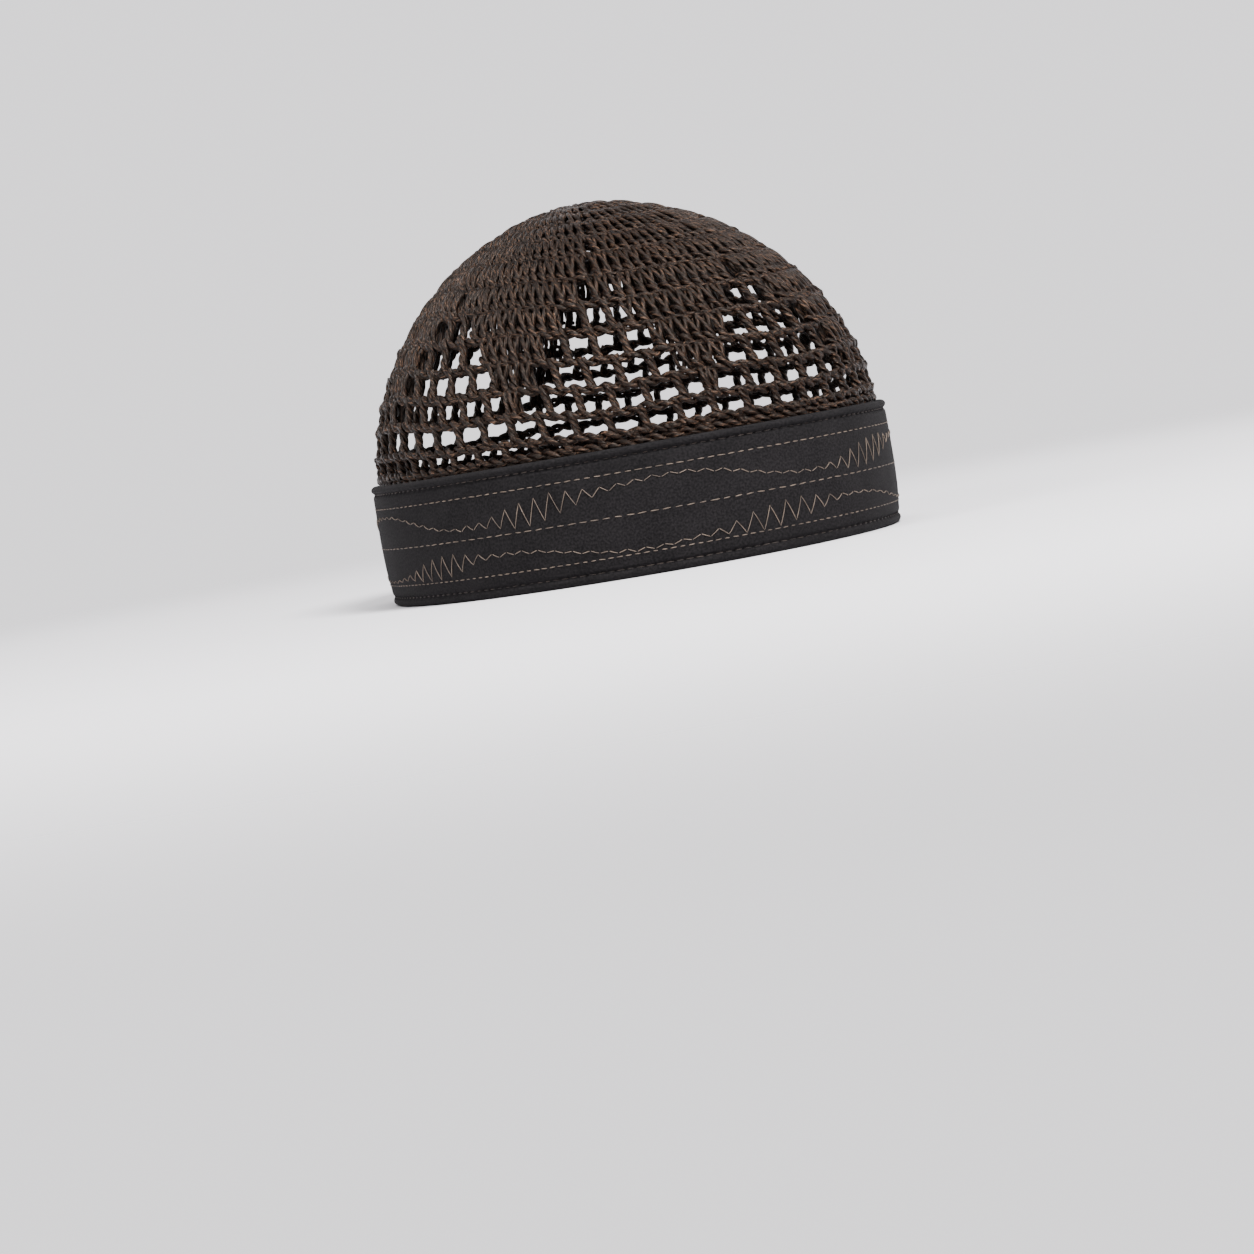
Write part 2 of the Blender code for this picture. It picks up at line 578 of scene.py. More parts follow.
@dataclass
class Strands:
    """Lines of yarn or thread that wait to be given their round form."""

    points: list[np.ndarray]
    tones: list[np.ndarray]
    widths: list[np.ndarray]
    closed: list[bool]

    @classmethod
    def empty(cls) -> Strands:
        """No strands yet."""
        return cls([], [], [], [])

    def add(self, lines: np.ndarray, tones: np.ndarray, widths: Any = 1.0, closed: bool = False) -> None:
        """Adds strands of equal length.

        Args:
            lines: points of each strand, as strands by points by 3.
            tones: one tone for each strand.
            widths: share of the full thickness, one for all or one for each point of a strand.
            closed: whether each strand's end meets its start.
        """
        for line, tone in zip(lines, tones):
            self.points.append(line)
            self.tones.append(np.full(len(line), tone))
            self.widths.append(np.broadcast_to(widths, len(line)))
            self.closed.append(closed)

    def mesh(self, name: str) -> bpy.types.Mesh:
        """Joins the strands in one mesh of edges, with their attributes.

        Args:
            name: the mesh's name.

        Returns:
            The mesh.
        """
        counts = [len(line) for line in self.points]
        starts = np.concatenate([[0], np.cumsum(counts)[:-1]])
        edges = []
        ways = []
        for line, start, count, closed in zip(self.points, starts, counts, self.closed):
            run = np.arange(start, start + count - 1)
            edges.append(np.stack([run, run + 1], axis=1))
            if closed:
                edges.append(np.array([[start + count - 1, start]]))
            steps = np.linalg.norm(np.diff(line, axis=0), axis=1)
            ways.append(np.concatenate([[0.0], np.cumsum(steps)]))
        mesh = bpy.data.meshes.new(name)
        mesh.from_pydata(np.concatenate(self.points), np.concatenate(edges), [])
        for key, values in (("along", ways), ("tone", self.tones), ("width", self.widths)):
            layer = mesh.attributes.new(key, "FLOAT", "POINT")
            layer.data.foreach_set("value", np.concatenate(values).astype(np.float32))
        return mesh


def geometry_tree(
    name: str, inputs: dict[str, tuple[str, Any]]
) -> tuple[Tree, bpy.types.Node, dict[str, str]]:
    """Makes an empty geometry tree.

    Args:
        name: the tree's name.
        inputs: socket type and default value of each named input.

    Returns:
        The tree, its input node and each input's identifier.
    """
    group = bpy.data.node_groups.new(name, "GeometryNodeTree")
    group.interface.new_socket("Geometry", in_out="OUTPUT", socket_type="NodeSocketGeometry")
    group.interface.new_socket("Geometry", in_out="INPUT", socket_type="NodeSocketGeometry")
    identifiers = {}
    for label, (kind, default) in inputs.items():
        socket = group.interface.new_socket(label, in_out="INPUT", socket_type=kind)
        if default is not None:
            socket.default_value = default
        identifiers[label] = socket.identifier
    tree = Tree(group)
    return tree, tree.node("NodeGroupInput", {}, {}), identifiers


def close_tree(tree: Tree, geometry: Any, material: Any) -> None:
    """Ends a geometry tree: instances made real, smooth faces and the material."""
    real = tree.add("GeometryNodeRealizeInstances", {}, {"Geometry": geometry})
    smooth = tree.add("GeometryNodeSetShadeSmooth", {}, {"Geometry": real})
    dressed = tree.add("GeometryNodeSetMaterial", {}, {"Geometry": smooth, "Material": material})
    tree.node("NodeGroupOutput", {}, {"Geometry": dressed})


class StrandTree:
    """Gives each edge line of a mesh a round section."""

    def __init__(self) -> None:
        """Builds the tree."""
        tree, start, self.inputs = geometry_tree(
            "round_strands",
            {
                "Thickness": ("NodeSocketFloat", 1.6 * MM),
                "Sides": ("NodeSocketInt", 7),
                "Material": ("NodeSocketMaterial", None),
            },
        )
        width = tree.add("GeometryNodeInputNamedAttribute", {"data_type": "FLOAT"}, {"Name": "width"})
        half = Field(tree, start.outputs["Thickness"]) * 0.5 * width
        lines = tree.add("GeometryNodeMeshToCurve", {}, {"Mesh": start.outputs["Geometry"]})
        section = {"Resolution": start.outputs["Sides"], "Radius": 1.0}
        circle = tree.add("GeometryNodeCurvePrimitiveCircle", {}, section)
        place = tree.add("GeometryNodeInputPosition", {}, {})
        marked = tree.add(
            "GeometryNodeStoreNamedAttribute",
            {"data_type": "FLOAT_VECTOR", "domain": "POINT"},
            {"Geometry": circle, "Name": "ring", "Value": place},
        )
        tube = tree.add(
            "GeometryNodeCurveToMesh",
            {},
            {"Curve": lines, "Profile Curve": marked, "Scale": half, "Fill Caps": True},
        )
        close_tree(tree, tube, start.outputs["Material"])
        self.group = tree.tree


# How far a stitch may lean off its row, in radians, and what sets its seed apart from the lengths' seed
STITCH_TILT = 0.09
TILT_SEED_SHIFT = 5.0


class DashTree:
    """Sets short stitches end to end along an edge line."""

    def __init__(self) -> None:
        """Builds the tree."""
        tree, start, self.inputs = geometry_tree(
            "stitch_row",
            {
                "Pitch": ("NodeSocketFloat", 3.2 * MM),
                "Length": ("NodeSocketFloat", 2.4 * MM),
                "Thickness": ("NodeSocketFloat", 0.45 * MM),
                "Unevenness": ("NodeSocketFloat", 0.2),
                "Seed": ("NodeSocketInt", 3),
                "Material": ("NodeSocketMaterial", None),
            },
        )
        length = Field(tree, start.outputs["Length"])
        thickness = Field(tree, start.outputs["Thickness"])
        uneven = Field(tree, start.outputs["Unevenness"])
        seed = Field(tree, start.outputs["Seed"])
        line = tree.add("GeometryNodeMeshToCurve", {}, {"Mesh": start.outputs["Geometry"]})
        spacing = {"Curve": line, "Length": start.outputs["Pitch"]}
        spots = tree.node("GeometryNodeCurveToPoints", {"mode": "LENGTH"}, spacing)
        bead = tree.add("GeometryNodeMeshUVSphere", {}, {"Segments": 8, "Rings": 7, "Radius": 0.5})
        change = tree.node(
            "FunctionNodeRandomValue",
            {"data_type": "FLOAT"},
            {"Min": 1.0 - uneven, "Max": 1.0 + uneven, "Seed": seed},
        ).outputs["Value"]
        tilt = tree.node(
            "FunctionNodeRandomValue",
            {"data_type": "FLOAT_VECTOR"},
            {
                "Min": (-STITCH_TILT, -STITCH_TILT, 0.0),
                "Max": (STITCH_TILT, STITCH_TILT, 0.0),
                "Seed": seed + TILT_SEED_SHIFT,
            },
        ).outputs["Value"]
        turned = tree.add(
            "FunctionNodeRotateRotation",
            {"rotation_space": "LOCAL"},
            {"Rotation": spots.outputs["Rotation"], "Rotate By": tilt},
        )
        sides = {0: thickness, 1: thickness, 2: length * Field(tree, change)}
        size = tree.add("ShaderNodeCombineXYZ", {}, sides)
        stitches = tree.add(
            "GeometryNodeInstanceOnPoints",
            {},
            {"Points": spots.outputs["Points"], "Instance": bead, "Rotation": turned, "Scale": size},
        )
        close_tree(tree, stitches, start.outputs["Material"])
        self.group = tree.tree


def grown(
    name: str, mesh: bpy.types.Mesh, tree: StrandTree | DashTree, values: dict[str, Any]
) -> bpy.types.Object:
    """Runs a geometry tree on a mesh and keeps the result as a plain mesh.

    Args:
        name: the piece's name.
        mesh: the mesh that the tree starts from.
        tree: the geometry tree.
        values: a value for each named input.

    Returns:
        The piece, with no modifier left.
    """
    source = bpy.data.objects.new(name + "_lines", mesh)
    bpy.context.scene.collection.objects.link(source)
    modifier = source.modifiers.new("grow", "NODES")
    modifier.node_group = tree.group
    for label, value in values.items():
        modifier[tree.inputs[label]] = value
    graph = bpy.context.evaluated_depsgraph_get()
    result = bpy.data.meshes.new_from_object(source.evaluated_get(graph))
    result.name = name
    bpy.data.objects.remove(source, do_unlink=True)
    bpy.data.meshes.remove(mesh)
    piece = bpy.data.objects.new(name, result)
    bpy.context.scene.collection.objects.link(piece)
    return piece


def smooth_line(points: Sequence[Sequence[float]], count: int) -> np.ndarray:
    """Even points on a smooth curve through the given ones.

    Args:
        points: the points that the curve passes through.
        count: how many points to return.

    Returns:
        The points of the curve.
    """
    knots = np.array(points, dtype=float)
    knots = np.concatenate([[2.0 * knots[0] - knots[1]], knots, [2.0 * knots[-1] - knots[-2]]])
    steps = np.linspace(0.0, len(points) - 1.0001, count)
    base = steps.astype(int)
    part = (steps - base)[:, None]
    p0, p1, p2, p3 = (knots[base + shift] for shift in range(4))
    return 0.5 * (
        2.0 * p1
        + (p2 - p0) * part
        + (2.0 * p0 - 5.0 * p1 + 4.0 * p2 - p3) * part ** 2
        + (3.0 * p1 - p0 - 3.0 * p2 + p3) * part ** 3
    )


class Slot(Enum):
    """The material slots."""

    YARN = "crown_yarn"
    CLOTH = "band_cloth"
    THREAD = "band_thread"
    EDGE_THREAD = "edge_thread"


# The crown's chart


class Openness(Enum):
    """What a row of one sector holds."""

    NET = "net all the way"
    GROUP = "a group of net cells between closed stitches"
    CLOSED = "closed stitches only"


@dataclass(frozen=True)
class Line:
    """The top of a row: its height at the front, and how much higher it lies at the back."""

    front: float
    lift: float


@dataclass(frozen=True)
class Row:
    """One round of the crown; places are in net cells from the middle of the sector's group.

    Attributes:
        openness: what the row holds.
        left: place where its net begins.
        first: place of its first free post.
        posts: number of free posts.
        spacing: cells from one free post to the next.
        right: place where its net ends.
        closed: closed stitches from there to the next sector's net.
    """

    openness: Openness
    left: float
    first: float
    posts: int
    spacing: float
    right: float
    closed: int


LINES = (
    # front  lift, in millimetres
    Line(0.9, 0.9),
    Line(3.8, 4.8),
    Line(10.8, 7.2),
    Line(19.0, 8.0),
    Line(28.4, 8.0),
    Line(38.9, 7.5),
    Line(49.8, 7.2),
    Line(61.4, 6.6),
    Line(73.2, 5.6),
    Line(84.5, 4.2),
    Line(95.5, 2.8),
    Line(106.3, 1.5),
    Line(116.6, 0.5),
    Line(125.2, 0.0),
)

ROWS = (
    # openness  left  first  posts  spacing  right  closed
    Row(Openness.NET, 0.0, -0.30, 6, 1.0, 0.0, 0),
    Row(Openness.NET, 0.0, 0.00, 6, 1.0, 0.0, 0),
    Row(Openness.GROUP, -2.70, -1.76, 5, 0.98, 2.85, 2),
    Row(Openness.GROUP, -2.20, -1.40, 4, 0.97, 2.28, 4),
    Row(Openness.GROUP, -1.80, -1.02, 3, 0.95, 1.75, 6),
    Row(Openness.GROUP, -1.18, -0.30, 2, 0.84, 1.05, 9),
    Row(Openness.GROUP, -0.42, 0.00, 0, 1.0, 0.04, 13),
    Row(Openness.CLOSED, 0.06, 0.00, 0, 1.0, 0.27, 13),
    Row(Openness.CLOSED, 0.20, 0.00, 0, 1.0, 0.42, 12),
    Row(Openness.CLOSED, 0.34, 0.00, 0, 1.0, 0.59, 10),
    Row(Openness.CLOSED, 0.48, 0.00, 0, 1.0, 0.78, 8),
    Row(Openness.CLOSED, 0.62, 0.00, 0, 1.0, 1.00, 6),
    Row(Openness.CLOSED, 0.84, 0.00, 0, 1.0, 1.22, 3),
)

# Strands of one closed stitch: across in stitch pitches, up in row heights, out in strand radii
CLOSED_LEFT = (
    (-0.34, 1.06, -0.60),
    (-0.37, 0.92, 0.60),
    (-0.28, 0.70, 1.30),
    (-0.10, 0.46, 1.50),
    (0.12, 0.22, 1.00),
    (0.28, 0.04, -0.80),
)
CLOSED_RIGHT = (
    (0.34, 1.06, -0.60),
    (0.36, 0.92, 0.50),
    (0.26, 0.70, 1.00),
    (0.10, 0.48, 0.80),
    (-0.08, 0.26, 0.20),
    (-0.22, 0.06, -0.80),
)
CLOSED_FOOT = (
    (-0.50, 0.38, -1.00),
    (-0.38, 0.30, 0.90),
    (-0.12, 0.16, 1.80),
    (0.18, 0.02, 1.40),
    (0.40, -0.12, -0.80),
)
CLOSED_BACK_LEFT = (
    (-0.24, 1.00, -1.00),
    (-0.30, 0.60, -2.00),
    (-0.18, 0.25, -2.00),
    (-0.24, -0.04, -1.00),
)
CLOSED_BACK_RIGHT = (
    (0.26, 1.00, -1.00),
    (0.16, 0.60, -2.00),
    (0.30, 0.25, -2.00),
    (0.24, -0.04, -1.00),
)
CLOSED_STRANDS = (
    # strand, points along it
    (CLOSED_LEFT, 10),
    (CLOSED_RIGHT, 10),
    (CLOSED_FOOT, 7),
    (CLOSED_BACK_LEFT, 4),
    (CLOSED_BACK_RIGHT, 4),
)


@dataclass
class Crown:
    """The crocheted crown, worked in rounds of net cells and closed stitches.

    Attributes:
        dome: the surface that it is worked on.
        finish: the yarn's finish.
        strand: thickness of one strand.
        sides: sides of a strand's section.
        closed_lean: how far closed stitches lean, in stitch pitches.
        closed_shake: unevenness of closed stitches across, up and out.
        group_place: middle of the first group of net cells, in cells from the front.
        wedge_lift: rise of the lower rows between the groups.
        wedge_top, wedge_fade: line height where that rise ends, and the way over which it fades.
        wedge_foot, wedge_start: line height where it begins, and the way over which it grows.
        lift_from, lift_to: angles from the front between which the rows climb to the back.
        row_tilt: how much further out a row's top lies than its foot.
        ridge_tilt: share of that tilt for the chain on closed stitches.
        closed_width: thickness of the strands of closed stitches, as a share.
        margin_ways: places of the plain rounds behind the band.
        margin_phase: turn of their strands for each metre up.
        centre_wave: how far the centre loop goes in and out, in strands.
        centre_waves: times that it does so.
        post_foot, post_tip: ends of a free post, as shares of the row's height.
        post_hook, hook_from: how far its tip bends out, and from which height.
        hook_fall: how fast the bend goes back above the row.
        post_swell: how much thicker its ends are than its middle.
        post_phase: turn from one post's strands to the next one's.
        bar_scallop, scallops: swelling of a bar, and times in each cell.
        bar_sag: rise and fall of a bar between its posts.
        net_edge: cells over which a bar thins out at the edge of the net.
    """

    dome: Dome
    finish: YarnFinish
    strand: float = 1.5 * MM
    sides: int = 7
    closed_lean: float = 0.22
    closed_shake: tuple[float, float, float] = (1.0, 0.6, 3.5)
    group_place: float = -5.1
    wedge_lift: float = 0.8 * MM
    wedge_top: float = 70.0
    wedge_fade: float = 40.0
    wedge_foot: float = -4.0
    wedge_start: float = 16.0
    lift_from: float = math.radians(15.0)
    lift_to: float = math.radians(105.0)
    closed_width: float = 0.98
    row_tilt: float = 0.9 * MM
    ridge_tilt: float = 0.4
    margin_ways: tuple[float, ...] = (-0.3 * MM, -2.6 * MM, -4.9 * MM)
    margin_radius: float = 0.62 * MM
    margin_phase: float = 2000.0
    centre_radius: float = 1.5 * MM
    centre_points: int = 28
    centre_wave: float = 0.2
    centre_waves: float = 3.0
    post_radius: float = 0.92 * MM
    post_turns: float = 0.92
    post_lean: float = 0.15
    lean_unevenness: float = 0.2
    post_foot: float = -0.05
    post_tip: float = 1.10
    post_points: int = 13
    post_swell: float = 0.18
    post_phase: float = 2.1
    post_hook: float = 0.55 * MM
    hook_from: float = 0.72
    hook_fall: float = 3.0
    bar_radius: float = 0.90 * MM
    bar_turn: float = 10.6 * MM
    bar_scallop: float = 0.16
    scallops: float = 3.0
    bar_sag: float = 0.25 * MM
    least_points: int = 12
    net_edge: float = 0.25
    ridge_radius: float = 0.50 * MM
    bar_strands: int = 2
    bar_width: float = 1.24
    ridge_width: float = 0.85
    rope_strands: int = 3
    rope_step: float = 1.15 * MM
    unevenness: float = 0.07
    seed: int = 11

    def __post_init__(self) -> None:
        """Starts the random numbers that make the work uneven."""
        self.random = np.random.default_rng(self.seed)

    def line_way(self, line: Line, cells: np.ndarray) -> np.ndarray:
        """Height of a row line along the dome.

        Args:
            line: the row line.
            cells: places round the dome, in net cells.

        Returns:
            Metres up from the band, one for each place.
        """
        turn = np.abs((cells / CELLS_ROUND + 0.5) % 1.0 - 0.5) * TAU
        share = np.clip((turn - self.lift_from) / (self.lift_to - self.lift_from), 0.0, 1.0)
        lift = share * share * (3.0 - 2.0 * share)
        wedge = -np.cos((cells - self.group_place) / CELLS_PER_SECTOR * TAU)
        fade = np.clip((self.wedge_top - line.front) / self.wedge_fade, 0.0, 1.0)
        fade *= np.clip((line.front - self.wedge_foot) / self.wedge_start, 0.0, 1.0)
        return (line.front + line.lift * lift) * MM + self.wedge_lift * wedge * fade

    def row_way(self, row: int, cells: np.ndarray, up: np.ndarray) -> np.ndarray:
        """Height along the dome at a share of the way up a row.

        Args:
            row: the row, counted from the band.
            cells: places round the dome, in net cells.
            up: shares of the way up the row.

        Returns:
            Metres up from the band, one for each place.
        """
        foot = self.line_way(LINES[row], cells)
        top = self.line_way(LINES[row + 1], cells)
        return foot + (top - foot) * up

    def closed_places(self, row: Row) -> tuple[np.ndarray, float]:
        """Finds a row's closed stitches round the whole crown.

        Args:
            row: the row.

        Returns:
            Their places and their pitch, in net cells.
        """
        span = CELLS_PER_SECTOR + row.left - row.right
        pitch = span / row.closed
        steps = row.right + pitch * (np.arange(row.closed) + 0.5)
        sectors = np.arange(SECTORS)[:, None] * CELLS_PER_SECTOR
        return (self.group_place + sectors + steps[None]).ravel(), pitch

    def post_places(self, row: Row) -> np.ndarray:
        """Finds a row's free posts round the whole crown.

        Args:
            row: the row.

        Returns:
            Their places, in net cells.
        """
        steps = row.first + row.spacing * np.arange(row.posts)
        sectors = np.arange(SECTORS)[:, None] * CELLS_PER_SECTOR
        return (self.group_place + sectors + steps[None]).ravel()

    def closed_stitches(self, number: int, strands: Strands) -> None:
        """Works the closed stitches of one row.

        Args:
            number: the row, counted from the band.
            strands: where the strands go.
        """
        places, pitch = self.closed_places(ROWS[number])
        count = len(places)
        radius = self.strand / 2.0
        tones = self.random.random(count)
        for template, points in CLOSED_STRANDS:
            path = smooth_line(template, points)[None]
            shake = self.random.normal(0.0, self.unevenness, (count, 1, 3))
            path = path + shake * np.array(self.closed_shake)
            lean = self.closed_lean * (0.5 - path[..., 1])
            cells = places[:, None] + (path[..., 0] + lean) * pitch
            way = self.row_way(number, cells, path[..., 1])
            out = path[..., 2] * radius + self.row_tilt * (path[..., 1] - 0.5)
            strands.add(self.dome.place(cells, way, out), tones, self.closed_width)

    def margin(self, strands: Strands) -> None:
        """Works the plain rounds that are sewn in behind the band.

        Args:
            strands: where the strands go.
        """
        count = round(self.dome.oval.length / self.rope_step)
        cells = np.arange(count) / count * CELLS_ROUND
        turns = round(self.dome.oval.length / self.bar_turn)
        for way in self.margin_ways:
            tone = self.random.random()
            for strand in range(self.bar_strands):
                phase = TAU * (strand / self.bar_strands + turns * cells / CELLS_ROUND)
                phase = phase + way * self.margin_phase
                ways = way + self.margin_radius * np.cos(phase)
                points = self.dome.place(cells, ways, self.margin_radius * np.sin(phase))
                strands.add(points[None], np.array([tone]), 1.0, closed=True)

    def centre(self, strands: Strands) -> None:
        """Draws the crown together in one tight loop at its highest point.

        Args:
            strands: where the strand goes.
        """
        cells = np.arange(self.centre_points) / self.centre_points * CELLS_ROUND
        way = np.full_like(cells, self.dome.length - self.centre_radius)
        out = self.centre_wave * self.strand * np.sin(cells / CELLS_ROUND * TAU * self.centre_waves)
        strands.add(self.dome.place(cells, way, out)[None], np.array([0.5]), 1.0, closed=True)

    def free_posts(self, number: int, strands: Strands) -> None:
        """Works the free posts of one row, each a few strands wound round one another.

        Args:
            number: the row, counted from the band.
            strands: where the strands go.
        """
        places = self.post_places(ROWS[number])
        up = np.linspace(self.post_foot, self.post_tip, self.post_points)
        bend = np.clip((up - self.hook_from) / (1.0 - self.hook_from), 0.0, 1.0) ** 2
        hook = self.post_hook * bend * (1.0 - self.hook_fall * np.maximum(up - 1.0, 0.0))
        size = 1.0 + self.random.normal(0.0, self.unevenness, len(places))
        tones = self.random.random(len(places))
        lean = self.post_lean * (1.0 + self.random.normal(0.0, self.lean_unevenness, len(places)))
        waist = self.post_radius * size[:, None] * (1.0 + self.post_swell * np.cos(TAU * up)[None])
        ring = self.dome.round_share(self.row_way(number, places, np.array(0.5)))[:, None]
        cell = self.dome.oval.length / CELLS_ROUND * ring
        for strand in range(self.rope_strands):
            phase = TAU * (strand / self.rope_strands + self.post_turns * up)[None]
            phase = phase + places[:, None] * self.post_phase
            cells = places[:, None] + lean[:, None] * (0.5 - up[None]) + waist * np.cos(phase) / cell
            way = self.row_way(number, cells, np.broadcast_to(up[None], cells.shape))
            strands.add(self.dome.place(cells, way, waist * np.sin(phase) + hook[None]), tones)

    def net_share(self, row: Row, cells: np.ndarray) -> np.ndarray:
        """Tells a row's open net from its closed stitches.

        Args:
            row: the row.
            cells: places round the dome, in net cells.

        Returns:
            1 where the row is open net, 0 where its stitches are closed, with soft steps between.
        """
        if row.openness is Openness.NET:
            return np.ones_like(cells)
        if row.openness is Openness.CLOSED:
            return np.zeros_like(cells)
        middle = (row.left + row.right) / 2.0
        half = (row.right - row.left) / 2.0
        away = (cells - self.group_place - middle + CELLS_PER_SECTOR / 2.0) % CELLS_PER_SECTOR
        inside = half - np.abs(away - CELLS_PER_SECTOR / 2.0)
        return np.clip(inside / self.net_edge + 0.5, 0.0, 1.0)

    def row_line(self, number: int, strands: Strands) -> None:
        """Works the chain along a row line: full bars beside net cells, thin loops on closed stitches.

        Args:
            number: the line, counted from the lowest row's foot.
            strands: where the strands go.
        """
        line = LINES[number]
        girth = self.dome.oval.length * float(self.dome.round_share(np.array(line.front * MM)))
        count = max(self.least_points, round(girth / self.rope_step))
        cells = np.arange(count) / count * CELLS_ROUND
        neighbours = [ROWS[row] for row in (number - 1, number) if 0 <= row < len(ROWS)]
        openness = np.max([self.net_share(row, cells) for row in neighbours], axis=0)
        scallop = 1.0 + self.bar_scallop * np.cos(cells * TAU * self.scallops)
        thick = self.ridge_radius + (self.bar_radius * scallop - self.ridge_radius) * openness
        turns = max(1, round(girth / self.bar_turn))
        sag = self.bar_sag * np.cos(cells * TAU) * openness
        tone = self.random.random()
        widths = self.ridge_width + (self.bar_width - self.ridge_width) * openness
        for strand in range(self.bar_strands):
            phase = TAU * (strand / self.bar_strands + turns * cells / CELLS_ROUND)
            way = self.line_way(line, cells) + thick * np.cos(phase) + sag
            out = thick * np.sin(phase) + self.row_tilt * self.ridge_tilt * (1.0 - openness)
            strands.add(self.dome.place(cells, way, out)[None], np.array([tone]), widths, closed=True)

    def strands_of(self, rows: Iterable[int], lines: Iterable[int]) -> Strands:
        """Works the strands of some rows and row lines.

        Args:
            rows: the rows to work.
            lines: the row lines to work.

        Returns:
            Their strands.
        """
        strands = Strands.empty()
        for number in rows:
            if ROWS[number].closed:
                self.closed_stitches(number, strands)
            if ROWS[number].posts:
                self.free_posts(number, strands)
        for number in lines:
            self.row_line(number, strands)
        if 0 in lines:
            self.margin(strands)
        if len(ROWS) in lines:
            self.centre(strands)
        return strands

    def build(self, tree: StrandTree) -> list[bpy.types.Object]:
        """Works the whole crown.

        Args:
            tree: the tree that gives strands their round form.

        Returns:
            Its pieces, from the band upwards.
        """
        values = {"Thickness": self.strand, "Sides": self.sides, "Material": self.finish.material()}
        parts = (
            # name, rows, row lines
            ("crown_net", range(0, 3), range(0, 3)),
            ("crown_groups", range(3, 5), range(3, 5)),
            ("crown_tips", range(5, 7), range(5, 7)),
            ("crown_closed", range(7, 10), range(7, 10)),
            ("crown_top", range(10, len(ROWS)), range(10, len(LINES))),
        )
        return [
            grown(name, self.strands_of(rows, lines).mesh(name), tree, values)
            for name, rows, lines in parts
        ]


# The band


@dataclass(frozen=True)
class SeamRow:
    """A row of machine stitches.

    Attributes:
        name: the piece's name.
        slot: the slot of its thread.
        height: its height above the rim.
        draw: how deep it draws the cloth in.
        pitch: from one stitch to the next.
        length: length of a stitch.
        thickness: thickness of its thread.
        seed: seed of its unevenness.
    """

    name: str
    slot: Slot
    height: float
    draw: float
    pitch: float
    length: float
    thickness: float
    seed: int


@dataclass(frozen=True)
class ZigzagRow:
    """A decorative zigzag whose line swings up and down and whose width swells on the rising side.

    Attributes:
        name: the piece's name.
        low, high: lowest and highest height of its middle line.
        low_place: a place round from the front where the line is lowest.
        width: half its width where it is widest.
        swell_at: share of the swing at which it is widest.
        pitch: from one point to the next.
    """

    name: str
    low: float
    high: float
    low_place: float
    width: float
    swell_at: float
    pitch: float


SEAM_ROWS = (
    # name, slot, height, draw, pitch, length, thickness, seed
    SeamRow("edge_stitches", Slot.EDGE_THREAD, 38.6 * MM, 0.85 * MM, 3.3 * MM, 2.3 * MM, 0.36 * MM, 3),
    SeamRow("upper_stitches", Slot.THREAD, 33.6 * MM, 0.12 * MM, 3.35 * MM, 2.3 * MM, 0.34 * MM, 5),
    SeamRow("middle_stitches", Slot.THREAD, 20.0 * MM, 0.12 * MM, 3.9 * MM, 2.8 * MM, 0.34 * MM, 7),
    SeamRow("lower_stitches", Slot.THREAD, 7.4 * MM, 0.10 * MM, 2.9 * MM, 1.9 * MM, 0.34 * MM, 9),
    SeamRow("hem_stitches", Slot.EDGE_THREAD, 3.1 * MM, 0.70 * MM, 3.3 * MM, 2.3 * MM, 0.36 * MM, 13),
)

ZIGZAG_ROWS = (
    # name, low, high, low place, width, swell at, pitch
    ZigzagRow("upper_zigzag", 23.7 * MM, 30.6 * MM, -121.5 * MM, 4.1 * MM, 0.25, 5.7 * MM),
    ZigzagRow("lower_zigzag", 8.6 * MM, 13.8 * MM, -55.7 * MM, 3.7 * MM, 0.37, 6.0 * MM),
)


